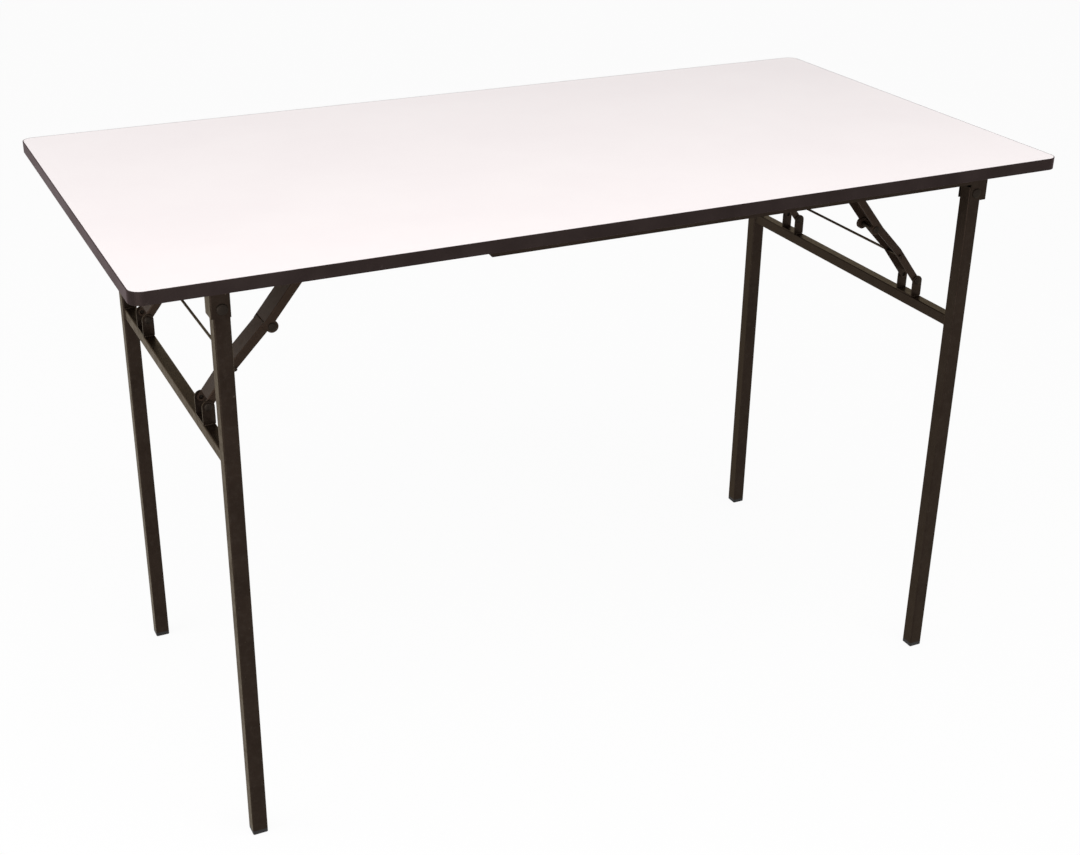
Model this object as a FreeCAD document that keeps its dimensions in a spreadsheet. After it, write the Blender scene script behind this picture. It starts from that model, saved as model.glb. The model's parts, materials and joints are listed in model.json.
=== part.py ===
import FreeCAD, Part
import math
import os
import types
import Sketcher

# Folding banquet table. X runs along the top, -Y is the front, Z rises from the floor.
# Every leg frame is drawn around its own pivot line, with x pointing inward under the top.

DIMENSIONS = {
    # tabletop
    "top_length": 1200,
    "top_width": 612,
    "table_height": 753,
    "top_thickness": 15,
    "corner_radius": 15,
    "edge_wall": 1.2,
    "edge_round": 0.5,
    "tongue_depth": 7,
    "tongue_height": 2.2,
    "laminate_thickness": 0.8,
    # leg frames
    "left_overhang": 105,
    "right_overhang": 87,
    "leg_inset": 60,
    "tube_width": 19,
    "tube_wall": 1.5,
    "tube_round": 2,
    "pivot_drop": 36,
    "leg_head": 8,
    "head_slope_run": 3.5,
    "head_slope_rise": 5,
    "foot_height": 6,
    "foot_plug": 14,
    "foot_round": 1.2,
    "rail_width": 15,
    "rail_wall": 1.2,
    "rail_round": 1.6,
    "rail_drop": 185,
    # sheet metal
    "plate": 2,
    "bend_radius": 1.6,
    "bracket_depth": 46,
    "left_back_room": 1,
    "right_back_room": 5,
    "bracket_side_room": 0.5,
    "bracket_tab": 26,
    "bracket_heel": 20,
    # folding braces
    "brace_inset": 101,
    "link_width": 30,
    "link_depth": 10.5,
    "link_room": 0.3,
    "anchor_reach": 148,
    "anchor_drop": 13,
    "anchor_length": 54,
    "anchor_ear": 6.5,
    "elbow_reach": 81,
    "elbow_drop": 105,
    "lug_radius": 7.5,
    "upper_tail": 6,
    "fork_rise": 30,
    "crank_run": 60,
    "crank_rise": 6,
    "butt_gap": 2.5,
    "fork_relief": 7,
    "anchor_relief": 14,
    "rod_width": 3.5,
    "rod_run": 53.6,
    "rod_rise": 3.7,
    "rod_end": 5,
    # side runners
    "runner_setback": 21,
    "runner_drop": 12.5,
    "runner_shelf": 20,
    "runner_left_gap": 400,
    "runner_right_gap": 120,
    "runner_slant": 7,
    "runner_screw_inset": 30,
    # pins and screws
    "leg_pin_width": 8,
    "leg_pin_head": 13,
    "link_pin_width": 6,
    "link_pin_head": 10,
    "pin_head_height": 2,
    "screw_width": 4,
    "screw_head": 8,
    "screw_head_height": 2,
    "screw_bite": 9,
    "screw_inset": 7,
    # fits
    "run_clearance": 0.05,
    "overrun": 5,
}
RUNNER_SCREWS = 5
HEAD_TOP_SHARE = 0.7

doc = FreeCAD.newDocument("folding_table")
sheet = doc.addObject("Spreadsheet::Sheet", "Dims")
for row, (name, value) in enumerate(DIMENSIONS.items(), start=1):
    sheet.set(f"A{row}", name)
    sheet.set(f"B{row}", str(value))
    sheet.setAlias(f"B{row}", name)
doc.recompute()


class Size:
    """A number together with the sheet expression that gives it."""

    def __init__(self, number, text):
        self.number = number
        self.text = text

    def __add__(self, other):
        return Size(self.number + other.number, f"({self.text} + {other.text})")

    def __sub__(self, other):
        return Size(self.number - other.number, f"({self.text} - {other.text})")

    def __mul__(self, other):
        other = as_size(other)
        return Size(self.number * other.number, f"({self.text} * {other.text})")

    def __truediv__(self, other):
        other = as_size(other)
        return Size(self.number / other.number, f"({self.text} / {other.text})")

    def __neg__(self):
        return Size(-self.number, f"(-{self.text})")

    def root(self):
        return Size(math.sqrt(self.number), f"sqrt({self.text})")


def as_size(value):
    return value if isinstance(value, Size) else Size(value, str(value))


d = types.SimpleNamespace(**{name: Size(value, f"Dims.{name}") for name, value in DIMENSIONS.items()})
ZERO = Size(0, "0")

nodes = []


def step(start, goal, run, rise):
    """The point run along the line from start to goal and rise to its left."""
    across = goal[0] - start[0]
    up = goal[1] - start[1]
    reach = (across * across + up * up).root()
    return (
        start[0] + (across * run - up * rise) / reach,
        start[1] + (up * run + across * rise) / reach,
    )


def span(start, goal):
    across = goal[0] - start[0]
    up = goal[1] - start[1]
    return (across * across + up * up).root()


def beside(point, start, goal, rise):
    """The point rise to the left of point, seen along the line from start to goal."""
    ahead = (point[0] + goal[0] - start[0], point[1] + goal[1] - start[1])
    return step(point, ahead, ZERO, rise)


def dimension(sketch, kind, where, size):
    index = sketch.addConstraint(Sketcher.Constraint(kind, *where, float(size.number)))
    sketch.setExpression(f"Constraints[{index}]", size.text)


def fix_point(sketch, geometry, position, point):
    dimension(sketch, "DistanceX", (-1, 1, geometry, position), point[0])
    dimension(sketch, "DistanceY", (-1, 1, geometry, position), point[1])


def vector(point):
    return FreeCAD.Vector(point[0].number, point[1].number, 0)


def add_polygon(sketch, points):
    count = len(points)
    first = sketch.GeometryCount
    for i in range(count):
        line = Part.LineSegment(vector(points[i]), vector(points[(i + 1) % count]))
        sketch.addGeometry(line, False)
    for i in range(count):
        following = first + (i + 1) % count
        sketch.addConstraint(Sketcher.Constraint("Coincident", first + i, 2, following, 1))
    for i in range(count):
        fix_point(sketch, first + i, 1, points[i])


def add_circle(sketch, centre, radius):
    circle = Part.Circle(vector(centre), FreeCAD.Vector(0, 0, 1), radius.number)
    index = sketch.addGeometry(circle, False)
    fix_point(sketch, index, 3, centre)
    dimension(sketch, "Radius", (index,), radius)


def add_rounded_rectangle(sketch, length, width, radius, centre=(ZERO, ZERO)):
    """A rectangle about centre, with a quarter arc at every corner."""
    first = sketch.GeometryCount
    arm_x = length / 2 - radius
    arm_y = width / 2 - radius
    centres = []
    for sign_x, sign_y in ((1, 1), (-1, 1), (-1, -1), (1, -1)):
        centres.append((centre[0] + arm_x * sign_x, centre[1] + arm_y * sign_y))
    for i in range(4):
        circle = Part.Circle(vector(centres[i]), FreeCAD.Vector(0, 0, 1), radius.number)
        arc = Part.ArcOfCircle(circle, i * math.pi / 2, (i + 1) * math.pi / 2)
        sketch.addGeometry(arc, False)
    for i in range(4):
        out = FreeCAD.Vector(math.cos((i + 1) * math.pi / 2), math.sin((i + 1) * math.pi / 2), 0)
        begin = vector(centres[i]) + out * radius.number
        end = vector(centres[(i + 1) % 4]) + out * radius.number
        sketch.addGeometry(Part.LineSegment(begin, end), False)
    for i in range(4):
        line = first + 4 + i
        sketch.addConstraint(Sketcher.Constraint("Tangent", first + i, 2, line, 1))
        sketch.addConstraint(Sketcher.Constraint("Tangent", line, 2, first + (i + 1) % 4, 1))
    for i in range(4):
        fix_point(sketch, first + i, 3, centres[i])
        dimension(sketch, "Radius", (first + i,), radius)


def new_body(label):
    body = doc.addObject("PartDesign::Body", label)
    body.Label = label
    nodes.append(body)
    return body


def new_sketch(body, role, height=ZERO):
    sketch = body.newObject("Sketcher::SketchObject", body.Name + "_sketch")
    plane = [feature for feature in body.Origin.OriginFeatures if feature.Role == role][0]
    sketch.AttachmentSupport = [(plane, "")]
    sketch.MapMode = "FlatFace"
    sketch.setExpression("AttachmentOffset.Base.z", height.text)
    return sketch


def feature(body, kind, sketch, length, midplane=False, backward=False):
    made = body.newObject(f"PartDesign::{kind}", f"{body.Name}_{kind.lower()}")
    made.Profile = sketch
    made.setExpression("Length", length.text)
    made.Midplane = midplane
    made.Reversed = backward
    sketch.Visibility = False
    return made


def round_edges(body, radius, chosen):
    """Rounds the edges for which chosen(edge) holds."""
    doc.recompute()
    base = body.Tip
    names = [f"Edge{i}" for i, edge in enumerate(base.Shape.Edges, start=1) if chosen(edge)]
    fillet = body.newObject("PartDesign::Fillet", body.Name + "_fillet")
    fillet.Base = (base, names)
    fillet.setExpression("Radius", radius.text)
    return fillet


def place(thing, x=ZERO, y=ZERO, z=ZERO):
    thing.setExpression("Placement.Base.x", x.text)
    thing.setExpression("Placement.Base.y", y.text)
    thing.setExpression("Placement.Base.z", z.text)


def channel(label, width, outlines, rounds, hollow, holes, bends):
    """A bent sheet piece: solid outlines across width, hollowed between its two side walls."""
    body = new_body(label)
    for outline in outlines:
        sketch = new_sketch(body, "XZ_Plane")
        add_polygon(sketch, outline)
        feature(body, "Pad", sketch, width, midplane=True)
    for centre, radius in rounds:
        sketch = new_sketch(body, "XZ_Plane")
        add_circle(sketch, centre, radius)
        feature(body, "Pad", sketch, width, midplane=True)
    sketch = new_sketch(body, "XZ_Plane")
    add_polygon(sketch, hollow)
    feature(body, "Pocket", sketch, width - d.plate * 2, midplane=True)
    sketch = new_sketch(body, "XZ_Plane")
    for centre, radius in holes:
        add_circle(sketch, centre, radius)
    feature(body, "Pocket", sketch, width + d.overrun, midplane=True)

    def on_bend(edge):
        ends = [vertex.Point for vertex in edge.Vertexes]
        if len(ends) < 2 or any(abs(abs(p.y) - width.number / 2) > d.run_clearance.number for p in ends):
            return False
        for start, goal in bends:
            line = Part.makeLine(
                FreeCAD.Vector(start[0].number, ends[0].y, start[1].number),
                FreeCAD.Vector(goal[0].number, ends[0].y, goal[1].number),
            )
            gaps = [line.distToShape(Part.Vertex(p))[0] for p in ends]
            if max(gaps) < d.run_clearance.number:
                return True
        return False

    if bends:
        round_edges(body, d.bend_radius, on_bend)
    return body


def cylinder(name, radius, height, x, y, z, across):
    """A round bar rising from (x, y, z), or lying along +Y where across is set."""
    bar = doc.addObject("Part::Cylinder", name)
    bar.setExpression("Radius", radius.text)
    bar.setExpression("Height", height.text)
    if across:
        bar.Placement.Rotation = FreeCAD.Rotation(FreeCAD.Vector(1, 0, 0), -90)
    place(bar, x, y, z)
    return bar


def fuse(name, members):
    joined = doc.addObject("Part::MultiFuse", name)
    joined.Shapes = members
    return joined


def group(label, members):
    """Like pieces in one node, each its own solid."""
    gathered = doc.addObject("Part::Compound", label)
    gathered.Label = label
    gathered.Links = members
    nodes.append(gathered)


def headed_pin(name, width, head, grip, x, y, z):
    """A pin along Y, centred on y, with a head beyond each end of grip."""
    long = grip + d.pin_head_height * 2
    parts = [cylinder(name + "_shank", width / 2, long, x, y - long / 2, z, True)]
    for start in (y - long / 2, y + grip / 2):
        parts.append(cylinder(name + "_head", head / 2, d.pin_head_height, x, start, z, True))
    return fuse(name, parts)


def link_pin(name, grip, x, y, z):
    return headed_pin(name, d.link_pin_width, d.link_pin_head, grip, x, y, z)


def screw(name, x, y, seat):
    """A screw driven up into the underside, its head below the sheet it holds."""
    head = doc.addObject("Part::Cone", name + "_head")
    head.setExpression("Radius1", (d.screw_head / 2 * HEAD_TOP_SHARE).text)
    head.setExpression("Radius2", (d.screw_head / 2).text)
    head.setExpression("Height", d.screw_head_height.text)
    place(head, x, y, seat - d.screw_head_height)
    shank = cylinder(name + "_shank", d.screw_width / 2, d.plate + d.screw_bite, x, y, seat, False)
    return fuse(name, [head, shank])


# heights and places shared by the pieces
underside = d.table_height - d.top_thickness
core_top = d.table_height - d.laminate_thickness
pivot_z = underside - d.pivot_drop
rail_z = pivot_z - d.rail_drop
rail_top = rail_z + d.rail_width / 2
half = d.link_depth / 2
tube_half = d.tube_width / 2
upper_width = d.link_width + (d.link_room + d.plate) * 2
bracket_width = d.tube_width + (d.bracket_side_room + d.plate) * 2
sheet_seat = underside - d.plate
leg_spread = d.top_width - d.leg_inset * 2
brace_spread = leg_spread - d.brace_inset * 2

leg_pivot = (ZERO, pivot_z)
anchor = (d.anchor_reach, underside - d.anchor_drop)
elbow = (d.elbow_reach, underside - d.elbow_drop)
fork = (ZERO, rail_z + d.fork_rise)

leg_bore = d.leg_pin_width / 2 + d.run_clearance
link_bore = d.link_pin_width / 2 + d.run_clearance
rod_bore = d.rod_width / 2 + d.run_clearance
screw_bore = d.screw_width / 2 + d.run_clearance

ENDS = (
    types.SimpleNamespace(
        name="left",
        sign=1,
        x=d.left_overhang - d.top_length / 2,
        bracket_back=tube_half + d.left_back_room + d.plate,
    ),
    types.SimpleNamespace(
        name="right",
        sign=-1,
        x=d.top_length / 2 - d.right_overhang,
        bracket_back=tube_half + d.right_back_room + d.plate,
    ),
)
SIDES = (
    types.SimpleNamespace(name="front", sign=-1),
    types.SimpleNamespace(name="back", sign=1),
)


def set_in_frame(thing, end, y=ZERO):
    """Puts a piece drawn around a leg pivot line at its end of the table."""
    if end.sign < 0:
        thing.Placement.Rotation = FreeCAD.Rotation(FreeCAD.Vector(0, 0, 1), 180)
    place(thing, end.x, y)


def bracket_screw_reaches(end):
    """How far a bracket's two screws stand from its leg pivot, outward and inward."""
    return (-(end.bracket_back + d.bracket_heel / 2), tube_half + d.bracket_tab / 2)


def screw_places():
    """The screw centres by what they hold."""
    places = {"bracket_screws": [], "anchor_screws": [], "runner_screws": []}
    for end in ENDS:
        for side in SIDES:
            leg_y = leg_spread / 2 * side.sign
            for reach in bracket_screw_reaches(end):
                places["bracket_screws"].append((end.x + reach * end.sign, leg_y))
            brace_y = brace_spread / 2 * side.sign
            for hand in (-1, 1):
                reach = d.anchor_reach + (d.anchor_length / 2 - d.screw_inset) * hand
                places["anchor_screws"].append((end.x + reach * end.sign, brace_y))
    start = d.runner_left_gap - d.top_length / 2 + d.runner_screw_inset
    stop = d.top_length / 2 - d.runner_right_gap - d.runner_screw_inset
    for side in SIDES:
        y = (d.top_width / 2 - d.runner_setback - d.runner_shelf / 2) * side.sign
        for i in range(RUNNER_SCREWS):
            x = start + (stop - start) * i / (RUNNER_SCREWS - 1)
            places["runner_screws"].append((x, y))
    return places


def build_top():
    length = d.top_length - d.edge_wall * 2
    width = d.top_width - d.edge_wall * 2
    radius = d.corner_radius - d.edge_wall
    slot_z = underside + d.top_thickness / 2

    core = new_body("top_core")
    sketch = new_sketch(core, "XY_Plane", underside)
    add_rounded_rectangle(sketch, length, width, radius)
    feature(core, "Pad", sketch, core_top - underside)
    slot_in = d.tongue_depth + d.run_clearance
    sketch = new_sketch(core, "XY_Plane", slot_z)
    add_rounded_rectangle(sketch, d.top_length, d.top_width, d.corner_radius)
    add_rounded_rectangle(sketch, length - slot_in * 2, width - slot_in * 2, radius - slot_in)
    feature(core, "Pocket", sketch, d.tongue_height + d.run_clearance * 2, midplane=True)
    sketch = new_sketch(core, "XY_Plane", underside)
    for places in screw_places().values():
        for spot in places:
            add_circle(sketch, spot, screw_bore)
    feature(core, "Pocket", sketch, d.screw_bite + d.run_clearance, backward=True)

    laminate = new_body("top_laminate")
    sketch = new_sketch(laminate, "XY_Plane", core_top)
    add_rounded_rectangle(sketch, length, width, radius)
    feature(laminate, "Pad", sketch, d.laminate_thickness)

    band = new_body("edge_band")
    sketch = new_sketch(band, "XY_Plane", underside)
    add_rounded_rectangle(sketch, d.top_length, d.top_width, d.corner_radius)
    add_rounded_rectangle(sketch, length, width, radius)
    feature(band, "Pad", sketch, d.top_thickness)
    sketch = new_sketch(band, "XY_Plane", slot_z)
    root = d.edge_wall / 2
    add_rounded_rectangle(sketch, length + d.edge_wall, width + d.edge_wall, radius + root)
    tongue_in = d.tongue_depth * 2
    add_rounded_rectangle(sketch, length - tongue_in, width - tongue_in, radius - d.tongue_depth)
    feature(band, "Pad", sketch, d.tongue_height, midplane=True)
    reach_x = d.top_length.number / 2 - d.edge_round.number
    reach_y = d.top_width.number / 2 - d.edge_round.number
    rims = (underside.number, d.table_height.number)

    def on_rim(edge):
        box = edge.BoundBox
        level = any(abs(box.ZMin - z) + abs(box.ZMax - z) < d.run_clearance.number for z in rims)
        far_x = max(abs(box.XMin), abs(box.XMax))
        far_y = max(abs(box.YMin), abs(box.YMax))
        return level and (far_x > reach_x or far_y > reach_y)

    round_edges(band, d.edge_round, on_rim)


def build_runner(side):
    face = (d.top_width / 2 - d.runner_setback) * side.sign
    wall = face - d.plate * side.sign
    shelf = face - d.runner_shelf * side.sign
    low = underside - d.runner_drop
    body = new_body(side.name + "_runner")
    sketch = new_sketch(body, "YZ_Plane")
    angle = [
        (face, underside),
        (face, low),
        (wall, low),
        (wall, sheet_seat),
        (shelf, sheet_seat),
        (shelf, underside),
    ]
    add_polygon(sketch, angle)
    feature(body, "Pad", sketch, d.top_length - d.runner_left_gap - d.runner_right_gap)
    sketch = new_sketch(body, "XZ_Plane")
    slant_top = low + d.runner_slant
    cut = [
        (-d.overrun, low - d.overrun),
        (d.runner_slant, low - d.overrun),
        (d.runner_slant, low),
        (ZERO, slant_top),
        (-d.overrun, slant_top),
    ]
    add_polygon(sketch, cut)
    feature(body, "Pocket", sketch, d.top_width + d.overrun, midplane=True)
    start = d.runner_left_gap - d.top_length / 2
    sketch = new_sketch(body, "XY_Plane", underside)
    for x, y in screw_places()["runner_screws"]:
        if y.number * side.sign > 0:
            add_circle(sketch, (x - start, y), screw_bore)
    feature(body, "Pocket", sketch, d.plate + d.overrun)
    place(body, start)

    def on_bend(edge):
        box = edge.BoundBox
        level = max(abs(box.ZMin - underside.number), abs(box.ZMax - underside.number))
        inset = max(abs(box.YMin - face.number), abs(box.YMax - face.number))
        return level + inset < d.run_clearance.number

    round_edges(body, d.bend_radius, on_bend)


def build_leg_bracket(end, side):
    low = underside - d.bracket_depth
    back = -end.bracket_back
    wall = [(back, low), (tube_half, low), (tube_half, underside), (back, underside)]
    heel = back - d.bracket_heel
    toe = tube_half + d.bracket_tab
    flange = [(heel, sheet_seat), (toe, sheet_seat), (toe, underside), (heel, underside)]
    room = back + d.plate
    clear = toe + d.overrun
    hollow = [(room, low - d.overrun), (clear, low - d.overrun), (clear, sheet_seat), (room, sheet_seat)]
    bends = [((back, low), (back, sheet_seat))]
    label = f"{end.name}_{side.name}_leg_bracket"
    holes = [(leg_pivot, leg_bore)]
    bracket = channel(label, bracket_width, [wall, flange], [], hollow, holes, bends)
    sketch = new_sketch(bracket, "XY_Plane", underside)
    for reach in bracket_screw_reaches(end):
        add_circle(sketch, (reach, ZERO), screw_bore)
    feature(bracket, "Pocket", sketch, d.plate + d.overrun)
    set_in_frame(bracket, end, leg_spread / 2 * side.sign)


def build_leg(end, side):
    leg = new_body(f"{end.name}_{side.name}_leg")
    bore = d.tube_width - d.tube_wall * 2
    sketch = new_sketch(leg, "XY_Plane", d.foot_height)
    add_rounded_rectangle(sketch, d.tube_width, d.tube_width, d.tube_round)
    add_rounded_rectangle(sketch, bore, bore, d.tube_round - d.tube_wall)
    head = pivot_z + d.leg_head
    feature(leg, "Pad", sketch, head - d.foot_height)
    outside = -(tube_half + d.overrun)
    slope = [
        (outside, head - d.head_slope_rise),
        (-tube_half, head - d.head_slope_rise),
        (d.head_slope_run - tube_half, head),
        (d.head_slope_run - tube_half, head + d.overrun),
        (outside, head + d.overrun),
    ]
    sketch = new_sketch(leg, "XZ_Plane")
    add_polygon(sketch, slope)
    add_circle(sketch, leg_pivot, leg_bore)
    feature(leg, "Pocket", sketch, d.tube_width + d.overrun, midplane=True)
    set_in_frame(leg, end, leg_spread / 2 * side.sign)

    foot = new_body(f"{end.name}_{side.name}_foot")
    sketch = new_sketch(foot, "XY_Plane")
    add_rounded_rectangle(sketch, d.tube_width, d.tube_width, d.tube_round)
    feature(foot, "Pad", sketch, d.foot_height)
    plug = bore - d.run_clearance * 2
    sketch = new_sketch(foot, "XY_Plane", d.foot_height)
    add_rounded_rectangle(sketch, plug, plug, d.tube_round - d.tube_wall)
    feature(foot, "Pad", sketch, d.foot_plug)
    round_edges(foot, d.foot_round, lambda edge: edge.BoundBox.ZMax < d.run_clearance.number)
    set_in_frame(foot, end, leg_spread / 2 * side.sign)


def build_cross_rail(end):
    rail = new_body(f"{end.name}_cross_rail")
    bore = d.rail_width - d.rail_wall * 2
    sketch = new_sketch(rail, "XZ_Plane")
    add_rounded_rectangle(sketch, d.rail_width, d.rail_width, d.rail_round, (ZERO, rail_z))
    add_rounded_rectangle(sketch, bore, bore, d.rail_round - d.rail_wall, (ZERO, rail_z))
    feature(rail, "Pad", sketch, leg_spread - d.tube_width, midplane=True)
    set_in_frame(rail, end)


def build_fork(end, side):
    ear = d.rail_width / 2
    wall = [(-ear, rail_top), (ear, rail_top), (ear, fork[1]), (-ear, fork[1])]
    floor = rail_top + d.plate
    wide = ear + d.overrun
    roof = fork[1] + wide
    hollow = [(-wide, floor), (wide, floor), (wide, roof), (-wide, roof)]
    bends = [((-ear, rail_top), (ear, rail_top))]
    label = f"{end.name}_{side.name}_fork"
    clip = channel(label, upper_width, [wall], [(fork, ear)], hollow, [(fork, link_bore)], bends)
    set_in_frame(clip, end, brace_spread / 2 * side.sign)


def build_lower_link(end, side):
    crank = step(fork, elbow, d.crank_run, d.crank_rise)
    tip = step(elbow, fork, d.butt_gap, -half)
    skin = half - d.plate
    over = d.lug_radius + d.overrun
    outer_foot = step(fork, crank, ZERO, half)
    outer_crank = beside(crank, fork, tip, half)
    outer_butt = step(elbow, fork, d.butt_gap, -d.link_depth)
    wall = [
        step(fork, crank, ZERO, -half),
        beside(crank, fork, tip, -half),
        step(elbow, fork, d.butt_gap, ZERO),
        outer_butt,
        outer_crank,
        outer_foot,
    ]
    hollow = [
        step(fork, crank, -over, -(half + over)),
        beside(crank, fork, tip, -(half + over)),
        step(elbow, fork, -over, over),
        step(elbow, fork, -over, -(d.link_depth + d.overrun)),
        step(elbow, fork, d.butt_gap, -(d.link_depth + d.overrun)),
        step(elbow, fork, d.butt_gap, d.plate - d.link_depth),
        beside(crank, fork, tip, skin),
        step(fork, crank, d.fork_relief, skin),
        step(fork, crank, d.fork_relief, half + d.overrun),
        step(fork, crank, -over, half + d.overrun),
    ]
    rod = step(fork, elbow, d.rod_run, d.rod_rise)
    link = channel(
        f"{end.name}_{side.name}_lower_link",
        d.link_width,
        [wall],
        [(fork, half), (elbow, d.lug_radius)],
        hollow,
        [(fork, link_bore), (elbow, link_bore), (rod, rod_bore)],
        [(outer_foot, outer_crank), (outer_crank, outer_butt)],
    )
    set_in_frame(link, end, brace_spread / 2 * side.sign)


def build_upper_link(end, side):
    crown = step(elbow, anchor, ZERO, half)
    reach = span(crown, anchor)
    skin = half - d.plate
    roof = half + d.overrun
    floor = -(half + d.lug_radius + d.overrun)
    tail = -(d.lug_radius + d.overrun)
    nose = reach + half + d.overrun
    stop = reach - d.anchor_relief
    wall = [
        step(crown, anchor, -d.upper_tail, -half),
        step(crown, anchor, reach, -half),
        step(crown, anchor, reach, half),
        step(crown, anchor, -d.upper_tail, half),
    ]
    hollow = [
        step(crown, anchor, tail, floor),
        step(crown, anchor, nose, floor),
        step(crown, anchor, nose, roof),
        step(crown, anchor, stop, roof),
        step(crown, anchor, stop, skin),
        step(crown, anchor, ZERO, skin),
        step(crown, anchor, ZERO, roof),
        step(crown, anchor, tail, roof),
    ]
    link = channel(
        f"{end.name}_{side.name}_upper_link",
        upper_width,
        [wall],
        [(anchor, half), (elbow, d.lug_radius)],
        hollow,
        [(anchor, link_bore), (elbow, link_bore)],
        [(wall[3], wall[2])],
    )
    set_in_frame(link, end, brace_spread / 2 * side.sign)


def build_brace_anchor(end, side):
    ear = d.anchor_ear
    near = anchor[0] - d.anchor_length / 2
    far = anchor[0] + d.anchor_length / 2
    base = [(near, sheet_seat), (far, sheet_seat), (far, underside), (near, underside)]
    wall = [
        (anchor[0] - ear, anchor[1]),
        (anchor[0] + ear, anchor[1]),
        (anchor[0] + ear, underside),
        (anchor[0] - ear, underside),
    ]
    wide = ear + d.overrun
    low = anchor[1] - wide
    hollow = [
        (anchor[0] - wide, low),
        (anchor[0] + wide, low),
        (anchor[0] + wide, sheet_seat),
        (anchor[0] - wide, sheet_seat),
    ]
    label = f"{end.name}_{side.name}_brace_anchor"
    holder = channel(label, d.link_width, [base, wall], [(anchor, ear)], hollow, [(anchor, link_bore)], [])
    sketch = new_sketch(holder, "XY_Plane", underside)
    for hand in (-1, 1):
        reach = anchor[0] + (d.anchor_length / 2 - d.screw_inset) * hand
        add_circle(sketch, (reach, ZERO), screw_bore)
    feature(holder, "Pocket", sketch, d.plate + d.overrun)
    set_in_frame(holder, end, brace_spread / 2 * side.sign)


def build_release_rod(end):
    spot = step(fork, elbow, d.rod_run, d.rod_rise)
    long = brace_spread + d.link_width + d.rod_end * 2
    x = end.x + spot[0] * end.sign
    bar = cylinder(f"{end.name}_rod", d.rod_width / 2, long, x, -long / 2, spot[1], True)
    group(f"{end.name}_release_rod", [bar])


def build_pins():
    leg_pins = []
    anchor_pins = []
    anchor_grip = upper_width + d.link_room * 2
    for end in ENDS:
        elbow_pins = []
        rivets = []
        anchor_x = end.x + anchor[0] * end.sign
        elbow_x = end.x + elbow[0] * end.sign
        for side in SIDES:
            leg_y = leg_spread / 2 * side.sign
            brace_y = brace_spread / 2 * side.sign
            leg_pin = headed_pin(
                "leg_pin", d.leg_pin_width, d.leg_pin_head, bracket_width, end.x, leg_y, pivot_z
            )
            leg_pins.append(leg_pin)
            anchor_pins.append(link_pin("anchor_pin", anchor_grip, anchor_x, brace_y, anchor[1]))
            elbow_pins.append(link_pin("elbow_pin", upper_width, elbow_x, brace_y, elbow[1]))
            for hand in (-1, 1):
                inner = brace_y + (upper_width / 2 - d.plate) * hand
                rivets.append(rivet(end.x, inner, fork[1], hand))
        group(f"{end.name}_elbow_pins", elbow_pins)
        group(f"{end.name}_fork_rivets", rivets)
    group("leg_pivot_pins", leg_pins)
    group("anchor_pins", anchor_pins)


def rivet(x, inner, z, hand):
    """A rivet through one ear, its head on the ear's outer face."""
    outer = inner + d.plate * hand
    shank_y = inner if hand > 0 else outer
    head_y = outer if hand > 0 else outer - d.pin_head_height
    shank = cylinder("rivet_shank", d.link_pin_width / 2, d.plate, x, shank_y, z, True)
    head = cylinder("rivet_head", d.link_pin_head / 2, d.pin_head_height, x, head_y, z, True)
    return fuse("rivet", [shank, head])


def build_screws():
    for label, places in screw_places().items():
        group(label, [screw(label + "_one", x, y, sheet_seat) for x, y in places])


build_top()
for side in SIDES:
    build_runner(side)
for end in ENDS:
    build_cross_rail(end)
    build_release_rod(end)
    for side in SIDES:
        build_leg_bracket(end, side)
        build_leg(end, side)
        build_fork(end, side)
        build_lower_link(end, side)
        build_upper_link(end, side)
        build_brace_anchor(end, side)
build_pins()
build_screws()
doc.recompute()

for thing in doc.Objects:
    if "Invalid" in thing.State or "Error" in thing.State:
        raise RuntimeError(f"{thing.Label} did not compute")
for node in nodes:
    if node.Shape.isNull() or not node.Shape.isValid():
        raise RuntimeError(f"{node.Label} has no valid shape")

os.makedirs("parts", exist_ok=True)
for node in nodes:
    node.Shape.exportStep(f"parts/{node.Label}.step")
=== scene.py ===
import json
import math
import bmesh
import bpy
from mathutils import Euler, Matrix, Vector


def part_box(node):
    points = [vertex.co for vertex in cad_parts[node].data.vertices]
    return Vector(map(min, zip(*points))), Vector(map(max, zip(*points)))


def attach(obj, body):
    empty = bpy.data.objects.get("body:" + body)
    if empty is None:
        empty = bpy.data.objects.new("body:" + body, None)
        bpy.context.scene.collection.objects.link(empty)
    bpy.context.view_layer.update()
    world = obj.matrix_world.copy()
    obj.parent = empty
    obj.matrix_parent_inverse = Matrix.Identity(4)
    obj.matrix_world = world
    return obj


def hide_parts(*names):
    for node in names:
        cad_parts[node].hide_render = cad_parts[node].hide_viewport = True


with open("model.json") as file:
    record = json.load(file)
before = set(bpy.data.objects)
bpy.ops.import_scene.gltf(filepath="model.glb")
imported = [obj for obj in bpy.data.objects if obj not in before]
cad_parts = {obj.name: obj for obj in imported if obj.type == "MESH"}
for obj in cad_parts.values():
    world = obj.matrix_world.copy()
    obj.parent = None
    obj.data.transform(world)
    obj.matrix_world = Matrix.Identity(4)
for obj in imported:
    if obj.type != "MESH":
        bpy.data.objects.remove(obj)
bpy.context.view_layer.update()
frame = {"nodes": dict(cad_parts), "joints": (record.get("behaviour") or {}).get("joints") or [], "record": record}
nodes = frame["nodes"]
pivots = {joint["name"]: Vector(joint["pos_m"]) for joint in frame["joints"]}
scene = bpy.context.scene
scene.view_settings.view_transform = "Standard"

ENDS = ("left", "right")
SIDES = ("front", "back")

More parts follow.
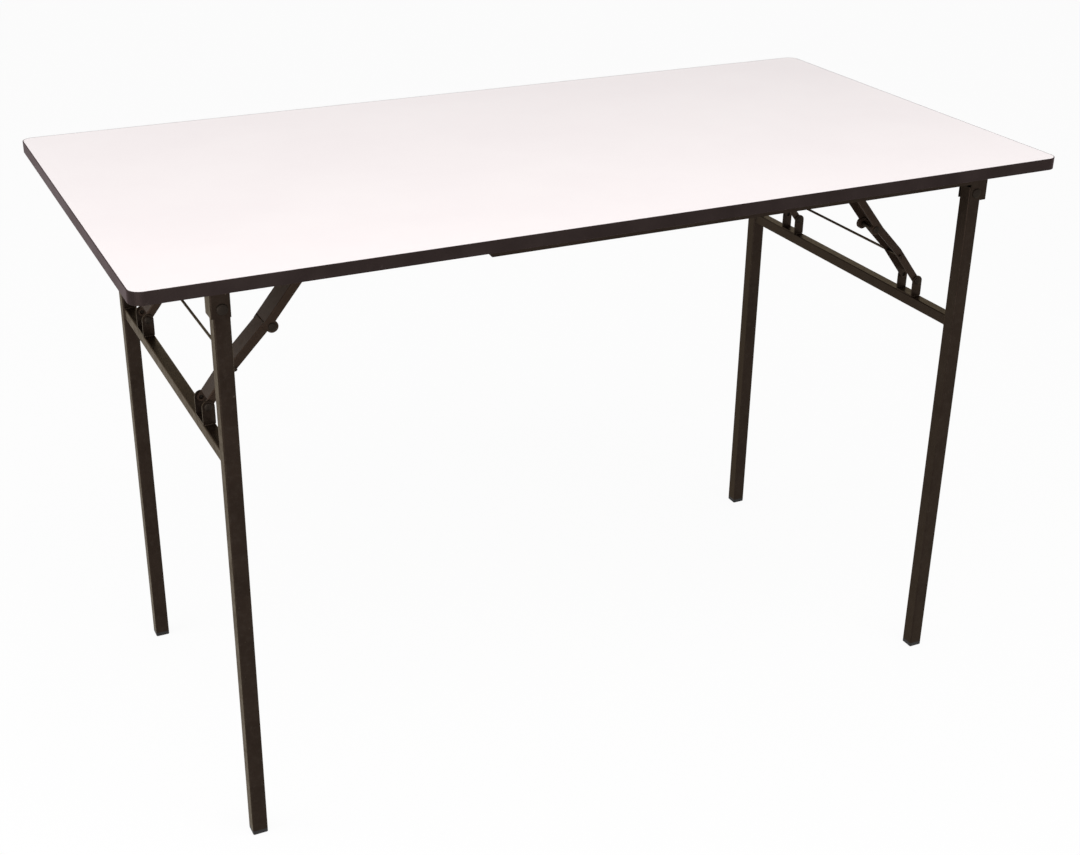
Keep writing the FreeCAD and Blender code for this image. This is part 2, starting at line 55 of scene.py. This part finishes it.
# Small hardware, in metres. All other sizes and places of the table are read from the frame.
MERGE_GAP = 1e-7
PLATE = 0.002
LEG_PIN_SHANK = 0.004
LINK_PIN_SHANK = 0.003
PIN_CROWN = 0.002
SCREW_SHANK = 0.002
SCREW_CROWN = 0.002
SCREW_LENGTH = 0.011
BRACKET_HEEL_SCREW = 0.010
BRACKET_TAB_SCREW = 0.013
ANCHOR_SCREW = 0.007
RUNNER_SCREW = 0.030
ROD_HEAD = 0.0015
BEAD_RADIUS = 0.0016
BEAD_PITCH = 0.0018
BEAD_SINK = 0.0003

# Counts and angles
RUNNER_SCREWS = 5
PIN_STEPS = 32
ROD_STEPS = 20
DOME_STEPS = 6
CROSS_ARMS = 4
BEAD_SIDES = 8
RING_WELD_STEPS = 160
BAR_WELD_STEPS = 48
SCREW_TURN = math.radians(137.5)
SMOOTH_ANGLE = math.radians(38)

# Domed heads: the foot as a share of the radius, the rim of the height, and the rim's edge of the rim
DOME_FOOT_SHARE = 0.96
DOME_RIM_SHARE = 0.3
DOME_EDGE_SHARE = 0.4

# Screws: the head's outline in shares of its radius and height, the point as a share of the length,
# the cross in shares of the head's radius and height, and its floor as a share of its mouth
PAN_HEAD_SHARES = ((0.97, 0), (1, 0.12), (1, 0.42), (0.93, 0.72), (0.76, 0.94), (0.6, 1))
SCREW_POINT_SHARE = 0.25
RECESS_ARM_SHARE = 0.5
RECESS_HALF_SHARE = 0.13
RECESS_DEPTH_SHARE = 0.75
RECESS_FLOOR_SHARE = 0.55

# Rod ends: shares of the rod's radius, and of its head's length back from the tip
ROD_END_SHARES = ((1, 1.6), (1.35, 1), (1.35, 0.5), (1, 0.12), (0, 0))

# Weld beads: how full they are between ripples and at their ends, how square they run round a tube,
# and the forks' beads as shares of the rail's width and of the full bead
BEAD_HOLLOW_SHARE = 0.82
BEAD_TIP_SHARE = 0.06
BEAD_SQUARENESS = 10
FORK_WELD_SHARE = 0.86
FORK_BEAD_SHARE = 0.8

# Studio, in metres and in shares of full white
FLOOR_REACH = 20
FLOOR_DROP = 0.0005
FLOOR_GLOW_SHARE = 0.93
ROOM_LIGHT = 0.55
WHITE = (1, 1, 1, 1)

# Camera, solved from the photo: millimetres, shares of the sensor, metres and degrees
SENSOR_WIDTH = 36.0
LENS = 54.0956
LENS_SHIFT = (0.00524, -0.01482)
CAMERA_PLACE = (-0.89756, -1.84037, 1.34309)
CAMERA_TURN = (64.6998, -0.6913, -25.6860)

# Colour that bronze paint and plating give to a glint
BRONZE_GLINT = (0.72, 0.63, 0.5, 1)

# Ways to lay a shape that is made along Z
ALONG_Y = Matrix.Rotation(-math.pi / 2, 4, "X")
AGAINST_Y = Matrix.Rotation(math.pi / 2, 4, "X")
HANGING = Matrix.Rotation(math.pi, 4, "X")


class Wire:
    """One socket of a node tree. Arithmetic on wires adds Math nodes."""

    def __init__(self, wiring, socket):
        self.wiring = wiring
        self.socket = socket

    def math(self, operation, first, second):
        return self.wiring.node("ShaderNodeMath", {"operation": operation}, {0: first, 1: second})

    def __add__(self, other):
        return self.math("ADD", self, other)

    __radd__ = __add__

    def __sub__(self, other):
        return self.math("SUBTRACT", self, other)

    def __rsub__(self, other):
        return self.math("SUBTRACT", other, self)

    def __mul__(self, other):
        return self.math("MULTIPLY", self, other)

    __rmul__ = __mul__


class Wiring:
    """The node tree of a material or a world, with its output."""

    def __init__(self, owner, output_kind):
        owner.use_nodes = True
        self.tree = owner.node_tree
        self.tree.nodes.clear()
        self.output = self.tree.nodes.new(output_kind)

    def node(self, kind, settings=None, inputs=None, output=0):
        """Adds a node, sets or joins its inputs, and hands back one of its outputs."""
        made = self.tree.nodes.new(kind)
        for key, value in (settings or {}).items():
            setattr(made, key, value)
        for key, value in (inputs or {}).items():
            if isinstance(value, Wire):
                self.tree.links.new(value.socket, made.inputs[key])
            else:
                made.inputs[key].default_value = value
        return Wire(self, made.outputs[output])

    def show(self, surface):
        self.tree.links.new(surface.socket, self.output.inputs["Surface"])

    def spread(self, value, low, high, to_low=0.0, to_high=1.0):
        ranges = {"Value": value, "From Min": low, "From Max": high, "To Min": to_low, "To Max": to_high}
        return self.node("ShaderNodeMapRange", {"clamp": True}, ranges)

    def seen(self, share):
        """The share where the camera looks, straight or by a mirror or through glass, and zero elsewhere."""
        camera = self.node("ShaderNodeLightPath", output="Is Camera Ray")
        mirror = self.node("ShaderNodeLightPath", output="Is Glossy Ray")
        through = self.node("ShaderNodeLightPath", output="Is Transmission Ray")
        return self.spread(camera + mirror + through, low=0.0, high=1.0, to_high=share)


class Finish(Wiring):
    """A node material with one principled shader, patterned on object coordinates."""

    def __init__(self, name, **constants):
        self.material = bpy.data.materials.new(name)
        super().__init__(self.material, "ShaderNodeOutputMaterial")
        plain = {key.replace("_", " "): value for key, value in constants.items()}
        self.surface = self.node("ShaderNodeBsdfPrincipled", None, plain)
        self.show(self.surface)
        self.place = self.node("ShaderNodeTexCoord", output="Object")

    def feed(self, **wires):
        shader = self.surface.socket.node
        for key, wire in wires.items():
            self.tree.links.new(wire.socket, shader.inputs[key.replace("_", " ")])

    def stretched(self, stretch):
        return self.node("ShaderNodeMapping", None, {"Vector": self.place, "Scale": stretch})

    def noise(self, scale, detail=3.0, rough=0.55, stretch=None):
        place = self.stretched(stretch) if stretch else self.place
        inputs = {"Vector": place, "Scale": scale, "Detail": detail, "Roughness": rough}
        return self.node("ShaderNodeTexNoise", None, inputs)

    def patches(self, low, high, **pattern):
        """Noise drawn apart, so that it is bare below low and full above high."""
        return self.spread(self.noise(**pattern), low, high)

    def mix(self, factor, first, second):
        return self.node("ShaderNodeMix", {"data_type": "RGBA"}, {0: factor, 6: first, 7: second}, 2)

    def bump(self, height, distance, strength):
        inputs = {"Height": height, "Distance": distance, "Strength": strength}
        return self.node("ShaderNodeBump", None, inputs)


def white_laminate():
    """Hard white decor sheet: very faint mottling, fine satin grain, hairline rub marks."""
    soft_white = (0.872, 0.807, 0.809, 1)
    clear_white = (0.894, 0.834, 0.833, 1)
    rubbed_white = (0.8, 0.745, 0.745, 1)
    rub_shows = 0.15
    satin = 0.34
    mottle_dulls = 0.06
    rub_dulls = 0.1
    sheet = Finish("white_laminate", IOR=1.5, Specular_IOR_Level=0.12)
    mottle = sheet.patches(low=0.3, high=0.7, scale=7.0, detail=4.0)
    rub = sheet.patches(low=0.62, high=0.78, scale=9.0, detail=6.0, rough=0.7, stretch=(1.0, 14.0, 1.0))
    grain = sheet.noise(scale=2600.0, detail=2.0)
    tone = sheet.mix(mottle, soft_white, clear_white)
    sheet.feed(Base_Color=sheet.mix(rub * rub_shows, tone, rubbed_white))
    sheet.feed(Roughness=satin + mottle * mottle_dulls + rub * rub_dulls)
    sheet.feed(Normal=sheet.bump(grain, distance=0.00002, strength=0.35))
    return sheet.material


def edge_moulding():
    """Dark brown extruded strip: faint draw lines along its length and rubbed spots."""
    deep_brown = (0.0198, 0.0139, 0.0128, 1)
    light_brown = (0.0277, 0.0199, 0.0184, 1)
    scuffed_brown = (0.07, 0.055, 0.05, 1)
    rose_glint = (0.8, 0.6, 0.63, 1)
    scuff_shows = 0.3
    satin = 0.36
    cloud_dulls = 0.1
    scuff_dulls = 0.15
    strip = Finish(
        "edge_moulding",
        IOR=1.48,
        Metallic=0.45,
        Specular_IOR_Level=0.06,
        Specular_Tint=rose_glint,
    )
    lines = strip.noise(scale=1.0, detail=3.0, rough=0.6, stretch=(6.0, 6.0, 1900.0))
    cloud = strip.patches(low=0.3, high=0.7, scale=22.0, detail=4.0)
    scuffs = strip.patches(low=0.63, high=0.74, scale=70.0, detail=6.0, rough=0.75)
    tone = strip.mix(cloud, deep_brown, light_brown)
    strip.feed(Base_Color=strip.mix(scuffs * scuff_shows, tone, scuffed_brown))
    strip.feed(Roughness=satin + cloud * cloud_dulls + scuffs * scuff_dulls)
    strip.feed(Normal=strip.bump(lines, distance=0.00004, strength=0.5))
    return strip.material


def bronze_enamel(name, deep, light, metal, gloss, rough):
    """Dark bronze enamel on steel: orange peel, a rubbed haze, small chips that show primer."""
    hazed_bronze = (0.039, 0.03, 0.024, 1)
    primer = (0.065, 0.048, 0.036, 1)
    haze_shows = 0.4
    chip_takes = 0.6
    cloud_dulls = 0.1
    haze_dulls = 0.16
    chip_dulls = 0.25
    paint = Finish(name, IOR=1.5, Specular_IOR_Level=gloss, Specular_Tint=BRONZE_GLINT)
    peel = paint.noise(scale=520.0, detail=2.0, rough=0.45)
    cloud = paint.patches(low=0.32, high=0.68, scale=24.0, detail=6.0, rough=0.65)
    haze = paint.patches(low=0.48, high=0.72, scale=110.0, detail=6.0, rough=0.72)
    specks = paint.patches(low=0.71, high=0.735, scale=240.0, detail=4.0, rough=0.6)
    chips = specks * paint.patches(low=0.5, high=0.62, scale=9.0, detail=2.0)
    coat = paint.mix(haze * haze_shows, paint.mix(cloud, deep, light), hazed_bronze)
    paint.feed(Base_Color=paint.mix(chips, coat, primer))
    paint.feed(Metallic=metal * (1 - chips * chip_takes))
    paint.feed(Roughness=rough + cloud * cloud_dulls + haze * haze_dulls + chips * chip_dulls)
    paint.feed(Normal=paint.bump(peel - chips * chip_takes, distance=0.00009, strength=0.5))
    return paint.material


def tube_enamel():
    """The full coat on all painted steel but the brace links."""
    deep = (0.0184, 0.012, 0.0088, 1)
    light = (0.025, 0.0168, 0.0124, 1)
    return bronze_enamel("tube_enamel", deep, light, metal=0.7, gloss=0.15, rough=0.3)


def brace_enamel_painted_fill():
    """The frame enamel again, lighter and less metallic on the brace channels: painted fill light for their shaded
    undersides.
    """
    # Lighter tones than the frame enamel: painted fill light where the channels lie in shade under the top.
    deep = (0.0262, 0.016, 0.0112, 1)
    light = (0.0318, 0.02, 0.0142, 1)
    return bronze_enamel("brace_enamel_painted_fill", deep, light, metal=0.2, gloss=0.1, rough=0.36)


def plated_steel():
    """Blackened pins and screws, brighter where tools and turning have rubbed them."""
    black = (0.0145, 0.0104, 0.0082, 1)
    rubbed_black = (0.026, 0.02, 0.0164, 1)
    metal = 0.7
    rub_bares = 0.2
    dull = 0.5
    rub_polishes = 0.16
    cloud_dulls = 0.08
    plating = Finish("plated_steel", IOR=1.5, Specular_Tint=BRONZE_GLINT)
    cloud = plating.patches(low=0.3, high=0.7, scale=180.0, detail=4.0, rough=0.6)
    rubbed = plating.patches(low=0.52, high=0.68, scale=420.0, detail=5.0, rough=0.7)
    plating.feed(Base_Color=plating.mix(rubbed, black, rubbed_black))
    plating.feed(Metallic=metal + rubbed * rub_bares)
    plating.feed(Roughness=dull - rubbed * rub_polishes + cloud * cloud_dulls)
    plating.feed(Normal=plating.bump(cloud, distance=0.00004, strength=0.5))
    return plating.material


def foot_plastic():
    """Black moulded cap with a fine spark texture, greyed where it meets the floor."""
    black = (0.0095, 0.0085, 0.008, 1)
    floor_grey = (0.05, 0.047, 0.043, 1)
    worn_height = 0.0012
    clean_height = 0.003
    ragged = 0.002
    wear_shows = 0.6
    dull = 0.48
    wear_dulls = 0.25
    spark_dulls = 0.06
    cap = Finish("foot_plastic", IOR=1.46, Specular_IOR_Level=0.3)
    spark = cap.noise(scale=1700.0, detail=2.0)
    height = cap.node("ShaderNodeSeparateXYZ", None, {"Vector": cap.place}, "Z")
    edge = height + cap.noise(scale=300.0, detail=3.0) * ragged
    worn = cap.spread(edge, worn_height, clean_height, to_low=1.0, to_high=0.0)
    cap.feed(Base_Color=cap.mix(worn * wear_shows, black, floor_grey))
    cap.feed(Roughness=dull + worn * wear_dulls + cap.spread(spark, low=0.3, high=0.7) * spark_dulls)
    cap.feed(Normal=cap.bump(spark, distance=0.00005, strength=0.5))
    return cap.material


def pressed_board():
    """Sealed underside of the board: pressed wood flakes under a thin brown coat."""
    dark_flake = (0.115, 0.066, 0.036, 1)
    pale_flake = (0.2, 0.124, 0.072, 1)
    fibre_brown = (0.075, 0.042, 0.024, 1)
    thin_coat = (0.24, 0.16, 0.1, 1)
    fibre_shows = 0.5
    cloud_shows = 0.3
    flake_lifts = 0.5
    dull = 0.62
    fibre_dulls = 0.14
    board = Finish("pressed_board", IOR=1.45, Specular_IOR_Level=0.3)
    cells = {"Vector": board.stretched((1.0, 2.6, 1.0)), "Scale": 170.0, "Randomness": 1.0}
    colour = board.node("ShaderNodeTexVoronoi", {"feature": "F1"}, cells, "Color")
    flake = board.node("ShaderNodeSeparateColor", None, {"Color": colour}, 0)
    fibre = board.noise(scale=90.0, detail=6.0, rough=0.65, stretch=(1.0, 7.0, 1.0))
    cloud = board.patches(low=0.35, high=0.7, scale=5.0, detail=4.0)
    tone = board.mix(flake, dark_flake, pale_flake)
    tone = board.mix(board.spread(fibre, low=0.42, high=0.75) * fibre_shows, tone, fibre_brown)
    board.feed(Base_Color=board.mix(cloud * cloud_shows, tone, thin_coat))
    board.feed(Roughness=dull + board.spread(fibre, low=0.3, high=0.7) * fibre_dulls)
    board.feed(Normal=board.bump(flake * flake_lifts + fibre, distance=0.00012, strength=0.5))
    return board.material


FINISH_OF_SLOT = {
    "laminate": white_laminate(),
    "board": pressed_board(),
    "edge_moulding": edge_moulding(),
    "frame_paint": tube_enamel(),
    "fastener_steel": plated_steel(),
    "foot_plastic": foot_plastic(),
}


def dress_nodes():
    """Gives each CAD node the finish of its slot, and the brace links a lighter copy of the frame enamel, which is
    painted fill light.
    """
    # The brace links' lighter enamel is painted fill light on their shaded channels.
    link_painted_fill_coat = brace_enamel_painted_fill()
    for part in frame["record"]["subparts"]:
        is_link = part["node"].endswith("_link")
        materials = nodes[part["node"]].data.materials
        materials.clear()
        materials.append(link_painted_fill_coat if is_link else FINISH_OF_SLOT[part["material_slot"]])


def middle(node):
    """The middle of a CAD node's box."""
    low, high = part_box(node)
    return (low + high) / 2


def extent(node):
    """The size of a CAD node's box."""
    low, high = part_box(node)
    return high - low


def shape_of(sculpt, *sizes):
    """The closed mesh that a sculpting function makes around the origin."""
    form = bmesh.new()
    sculpt(form, *sizes)
    bmesh.ops.remove_doubles(form, verts=form.verts, dist=MERGE_GAP)
    bmesh.ops.recalc_face_normals(form, faces=form.faces)
    shape = bpy.data.meshes.new(sculpt.__name__)
    form.to_mesh(shape)
    form.free()
    return shape


def set_piece(name, body, slot, stamps, replaced=()):
    """Joins shapes, each put down by a matrix, into one piece that rides on a body."""
    form = bmesh.new()
    for shape, matrix in stamps:
        copy = shape.copy()
        copy.transform(matrix)
        form.from_mesh(copy)
        bpy.data.meshes.remove(copy)
    mesh = bpy.data.meshes.new(name)
    form.to_mesh(mesh)
    form.free()
    mesh.materials.append(FINISH_OF_SLOT[slot])
    mesh.shade_smooth()
    mesh.set_sharp_from_angle(angle=SMOOTH_ANGLE)
    piece = bpy.data.objects.new(name, mesh)
    scene.collection.objects.link(piece)
    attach(piece, body)
    if replaced:
        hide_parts(*replaced)


def turn_round(form, steps):
    """Sweeps all that a form holds once round the Z axis."""
    bmesh.ops.spin(
        form,
        geom=form.verts[:] + form.edges[:],
        axis=(0, 0, 1),
        cent=(0, 0, 0),
        angle=math.tau,
        steps=steps,
        use_merge=True,
    )


def spin_profile(form, profile, steps):
    """Turns a line of (radius, height) pairs round the Z axis."""
    corners = [form.verts.new((radius, 0, height)) for radius, height in profile]
    for pair in zip(corners, corners[1:]):
        form.edges.new(pair)
    turn_round(form, steps)
    bmesh.ops.remove_doubles(form, verts=form.verts, dist=MERGE_GAP)


def mirrored(upper):
    """A profile's upper half with its mirror image below it."""
    return [(radius, -height) for radius, height in reversed(upper)] + upper


def dome(head, crown, seat):
    """Half the outline of a domed head that sits at height seat, from its lower edge to its top."""
    rim = crown * DOME_RIM_SHARE
    outline = [(head * DOME_FOOT_SHARE, seat), (head, seat + rim * DOME_EDGE_SHARE)]
    for step in range(DOME_STEPS):
        turn = math.pi / 2 * step / DOME_STEPS
        outline.append((head * math.cos(turn), seat + rim + (crown - rim) * math.sin(turn)))
    return outline + [(0, seat + crown)]


def two_headed_pin(form, shank, head, crown, grip):
    """A pin along Z with a dome at both ends of its grip."""
    spin_profile(form, mirrored([(shank, grip / 2)] + dome(head, crown, grip / 2)), PIN_STEPS)


def single_rivet(form, shank, head, crown, grip):
    """A dome on height zero with its shank below."""
    spin_profile(form, [(0, -grip), (shank, -grip), (shank, 0)] + dome(head, crown, 0), PIN_STEPS)


def headed_rod(form, radius, length, head):
    """A round bar whose ends are peened into small mushrooms."""
    upper = [(radius * wide, length / 2 - head * back) for wide, back in ROD_END_SHARES]
    spin_profile(form, mirrored(upper), ROD_STEPS)


def cross_recess_screw(form, shank, head, crown, length):
    """A pan head on height zero with a cross recess in its top, and a pointed shank below."""
    point = length * SCREW_POINT_SHARE
    arm = head * RECESS_ARM_SHARE
    half = head * RECESS_HALF_SHARE
    arm_corners = ((arm, -half), (arm, half), (half, half))
    outline = [(0, -length), (shank, point - length), (shank, 0)]
    outline += [(head * wide, crown * high) for wide, high in PAN_HEAD_SHARES]
    # Each edge of the cross is cut in two, so the head's rim has two steps for each of its corners.
    spin_profile(form, outline, CROSS_ARMS * len(arm_corners) * 2)
    rim = [edge for edge in form.edges if edge.is_boundary]
    corners = []
    for quarter in range(CROSS_ARMS):
        turn = Matrix.Rotation(math.tau * quarter / CROSS_ARMS, 3, "Z")
        for x, y in arm_corners:
            corners.append(form.verts.new(turn @ Vector((x, y, crown))))
    cross = [form.edges.new((corners[i - 1], corners[i])) for i in range(len(corners))]
    bmesh.ops.subdivide_edges(form, edges=cross, cuts=1)
    cross = [edge for edge in form.edges if edge.is_wire]
    bmesh.ops.bridge_loops(form, edges=rim + cross)
    walls = bmesh.ops.extrude_edge_only(form, edges=cross)["geom"]
    floor = [item for item in walls if isinstance(item, bmesh.types.BMVert)]
    bmesh.ops.scale(form, vec=(RECESS_FLOOR_SHARE, RECESS_FLOOR_SHARE, 1), verts=floor)
    bmesh.ops.translate(form, vec=(0, 0, -crown * RECESS_DEPTH_SHARE), verts=floor)
    floor_edges = [item for item in walls if isinstance(item, bmesh.types.BMEdge) and item.is_boundary]
    bmesh.ops.edgeloop_fill(form, edges=floor_edges)


def ripple(along):
    """How full a weld bead is at a place along it."""
    swell = abs(math.sin(math.pi * along / BEAD_PITCH))
    return BEAD_HOLLOW_SHARE + (1 - BEAD_HOLLOW_SHARE) * swell


def square_weld(form, half_side, bead):
    """A weld bead round a square tube that butts against height zero."""
    side = half_side * 2
    round_length = side * 4
    bmesh.ops.create_circle(form, segments=BEAD_SIDES, radius=bead)
    stand = Matrix.Translation((half_side, 0, 0)) @ AGAINST_Y
    bmesh.ops.transform(form, matrix=stand, verts=form.verts)
    turn_round(form, RING_WELD_STEPS)
    for vert in form.verts:
        turn = math.atan2(vert.co.y, vert.co.x)
        full = ripple(turn * round_length / math.tau)
        off = (vert.co.xy.length - half_side) * full
        powers = abs(math.cos(turn)) ** BEAD_SQUARENESS + abs(math.sin(turn)) ** BEAD_SQUARENESS
        out = half_side * powers ** (-1 / BEAD_SQUARENESS) + off
        vert.co = Vector((out * math.cos(turn), out * math.sin(turn), vert.co.z * full))


def straight_weld(form, length, bead):
    """A weld bead along X through the origin, drawn out at both ends."""
    bmesh.ops.create_circle(form, cap_ends=True, segments=BEAD_SIDES, radius=bead)
    stand = Matrix.Translation((-length / 2, 0, 0)) @ Matrix.Rotation(math.pi / 2, 4, "Y")
    bmesh.ops.transform(form, matrix=stand, verts=form.verts)
    bmesh.ops.spin(
        form,
        geom=form.verts[:] + form.edges[:] + form.faces[:],
        axis=(1, 0, 0),
        cent=(0, 0, 0),
        dvec=(length / BAR_WELD_STEPS, 0, 0),
        angle=0,
        steps=BAR_WELD_STEPS,
    )
    for vert in form.verts:
        end_share = min(1.0, (length / 2 - abs(vert.co.x)) / bead)
        full = ripple(vert.co.x) * math.sqrt(max(end_share, BEAD_TIP_SHARE))
        vert.co = Vector((vert.co.x, vert.co.y * full, vert.co.z * full))


def pin_spots(end, joint, strut):
    """Where one end's pins pass through the front and the back strut at a joint."""
    pivot = pivots[f"{end}_{joint}"]
    return [pivot + Vector((0, middle(f"{end}_{side}_{strut}").y, 0)) for side in SIDES]


def domed_pins(name, body, node, shank, spots):
    """Pins along Y in the place of a node's plain ones, one at each spot."""
    head = extent(node).z / 2
    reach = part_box(node)[1].y - max(spot.y for spot in spots)
    shape = shape_of(two_headed_pin, shank, head, PIN_CROWN, (reach - PIN_CROWN) * 2)
    stamps = [(shape, Matrix.Translation(spot) @ ALONG_Y) for spot in spots]
    set_piece(name, body, "fastener_steel", stamps, [node])


def table_pins():
    """The pins that stay with the top: one in each leg bracket and one in each brace anchor."""
    leg_spots = [spot for end in ENDS for spot in pin_spots(end, "leg_fold", "leg")]
    domed_pins("leg_pins", "table_top", "leg_pivot_pins", LEG_PIN_SHANK, leg_spots)
    anchor_spots = [spot for end in ENDS for spot in pin_spots(end, "upper_brace_swing", "upper_link")]
    domed_pins("brace_anchor_pins", "table_top", "anchor_pins", LINK_PIN_SHANK, anchor_spots)


def elbow_pins(end):
    """The pins that join the upper and lower links."""
    name = f"{end}_brace_elbow_pins"
    spots = pin_spots(end, "elbow_fold", "upper_link")
    domed_pins(name, f"{end}_upper_braces", f"{end}_elbow_pins", LINK_PIN_SHANK, spots)


def fork_rivets(end):
    """Domed rivets on both cheeks of the rail forks, in the middle of their rounded ears."""
    node = f"{end}_fork_rivets"
    shape = shape_of(single_rivet, LINK_PIN_SHANK, extent(node).z / 2, PIN_CROWN, PLATE)
    stamps = []
    for side in SIDES:
        low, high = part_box(f"{end}_{side}_fork")
        ear_radius = (high.x - low.x) / 2
        for y, facing in ((low.y, AGAINST_Y), (high.y, ALONG_Y)):
            spot = Vector(((low.x + high.x) / 2, y, high.z - ear_radius))
            stamps.append((shape, Matrix.Translation(spot) @ facing))
    set_piece(f"{end}_rivets", f"{end}_leg_frame", "fastener_steel", stamps, [node])


def release_rod(end):
    """The rod that ties the two lower links of one end together."""
    node = f"{end}_release_rod"
    size = extent(node)
    shape = shape_of(headed_rod, size.z / 2, size.y, ROD_HEAD)
    stamps = [(shape, Matrix.Translation(middle(node)) @ ALONG_Y)]
    set_piece(f"{end}_tie_rod", f"{end}_lower_braces", "frame_paint", stamps, [node])


def frame_welds(end):
    """Beads where the rail meets the legs and where the forks stand on the rail."""
    rail_low, rail_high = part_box(f"{end}_cross_rail")
    rail = (rail_low + rail_high) / 2
    ring = shape_of(square_weld, (rail_high.z - rail_low.z) / 2 - BEAD_SINK, BEAD_RADIUS)
    stamps = []
    for y, inward in ((rail_low.y, 1), (rail_high.y, -1)):
        spot = Vector((rail.x, y + BEAD_SINK * inward, rail.z))
        stamps.append((ring, Matrix.Translation(spot) @ ALONG_Y))
    fork_weld = (rail_high.x - rail_low.x) * FORK_WELD_SHARE
    bar = shape_of(straight_weld, fork_weld, BEAD_RADIUS * FORK_BEAD_SHARE)
    for side in SIDES:
        low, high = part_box(f"{end}_{side}_fork")
        for y in (low.y, high.y):
            stamps.append((bar, Matrix.Translation((rail.x, y, low.z + BEAD_SINK))))
    set_piece(f"{end}_frame_welds", f"{end}_leg_frame", "frame_paint", stamps)


def paired_spots(node, from_low, from_high):
    """Two screws on a plate's middle line, each set in from one end along X."""
    low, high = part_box(node)
    y = (low.y + high.y) / 2
    return [(low.x + from_low, y), (high.x - from_high, y)]


def runner_spots(side):
    """Evenly spaced screws along a runner."""
    low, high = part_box(f"{side}_runner")
    start = low.x + RUNNER_SCREW
    gap = (high.x - RUNNER_SCREW - start) / (RUNNER_SCREWS - 1)
    return [(start + gap * i, (low.y + high.y) / 2) for i in range(RUNNER_SCREWS)]


def screw_spots():
    """Where the screws stand, by the node that they stand for. A bracket's tab lies toward the middle."""
    spots = {"bracket_screws": [], "anchor_screws": [], "runner_screws": []}
    insets = {
        "left": (BRACKET_HEEL_SCREW, BRACKET_TAB_SCREW),
        "right": (BRACKET_TAB_SCREW, BRACKET_HEEL_SCREW),
    }
    for end in ENDS:
        for side in SIDES:
            spots["bracket_screws"] += paired_spots(f"{end}_{side}_leg_bracket", *insets[end])
            spots["anchor_screws"] += paired_spots(f"{end}_{side}_brace_anchor", ANCHOR_SCREW, ANCHOR_SCREW)
    for side in SIDES:
        spots["runner_screws"] += runner_spots(side)
    return spots


def wood_screws():
    """Screws under the top, each stopped at another angle."""
    for node, places in screw_spots().items():
        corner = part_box(node)[0]
        head = min(x for x, y in places) - corner.x
        shape = shape_of(cross_recess_screw, SCREW_SHANK, head, SCREW_CROWN, SCREW_LENGTH)
        stamps = []
        for i, (x, y) in enumerate(places):
            spot = Matrix.Translation((x, y, corner.z + SCREW_CROWN))
            stamps.append((shape, spot @ Matrix.Rotation(SCREW_TURN * i, 4, "Z") @ HANGING))
        set_piece(f"wood_{node}", "table_top", "fastener_steel", stamps, [node])


def studio_floor():
    """White paper that shows a faint shadow: part of what the camera sees is its own glow."""
    pale = (0.88, 0.88, 0.88, 1)
    paler = (0.9, 0.9, 0.9, 1)
    form = bmesh.new()
    bmesh.ops.create_grid(form, x_segments=1, y_segments=1, size=FLOOR_REACH)
    mesh = bpy.data.meshes.new("floor")
    form.to_mesh(mesh)
    form.free()
    paper = Finish("floor_paper", Roughness=0.9, Specular_IOR_Level=0.1)
    paper.feed(Base_Color=paper.mix(paper.patches(low=0.3, high=0.7, scale=3.0), pale, paler))
    glow = paper.node("ShaderNodeEmission")
    layers = {0: paper.seen(FLOOR_GLOW_SHARE), 1: paper.surface, 2: glow}
    paper.show(paper.node("ShaderNodeMixShader", None, layers))
    mesh.materials.append(paper.material)
    floor = bpy.data.objects.new("floor", mesh)
    floor.location.z = -FLOOR_DROP
    scene.collection.objects.link(floor)


def studio_world():
    """Even dim light from all round, which the camera and mirrors see as plain white."""
    scene.world = bpy.data.worlds.new("studio")
    room = Wiring(scene.world, "ShaderNodeOutputWorld")
    dim = room.node("ShaderNodeBackground", None, {"Color": WHITE, "Strength": ROOM_LIGHT})
    bright = room.node("ShaderNodeBackground", None, {"Color": WHITE, "Strength": 1.0})
    room.show(room.node("ShaderNodeMixShader", None, {0: room.seen(1.0), 1: dim, 2: bright}))


def soft_box(name, place, target, size, power):
    """A square lamp that faces a target."""
    lamp = bpy.data.lights.new(name, "AREA")
    lamp.shape = "SQUARE"
    lamp.size = size
    lamp.energy = power
    box = bpy.data.objects.new(name, lamp)
    box.location = place
    box.rotation_euler = (Vector(target) - Vector(place)).to_track_quat("-Z", "Y").to_euler()
    scene.collection.objects.link(box)


def photo_camera():
    """The camera that sees the table as the photo does."""
    data = bpy.data.cameras.new("photo_camera")
    data.sensor_fit = "HORIZONTAL"
    data.sensor_width = SENSOR_WIDTH
    data.lens = LENS
    data.shift_x, data.shift_y = LENS_SHIFT
    camera = bpy.data.objects.new("photo_camera", data)
    camera.location = CAMERA_PLACE
    camera.rotation_euler = Euler([math.radians(angle) for angle in CAMERA_TURN], "XYZ")
    scene.collection.objects.link(camera)
    scene.camera = camera


dress_nodes()
table_pins()
for end in ENDS:
    elbow_pins(end)
    fork_rivets(end)
    release_rod(end)
    frame_welds(end)
wood_screws()
studio_floor()
studio_world()
soft_box("overhead", place=(0.2, -1.4, 2.2), target=(0.1, -0.2, 0.75), size=2.0, power=26)
soft_box("left_window", place=(-2.4, -0.1, 1.6), target=(0, 0, 0.6), size=1.8, power=27)
soft_box("low_fill", place=(-1.9, -2.1, 0.3), target=(0.4, 0.0, 0.65), size=1.8, power=48)
photo_camera()
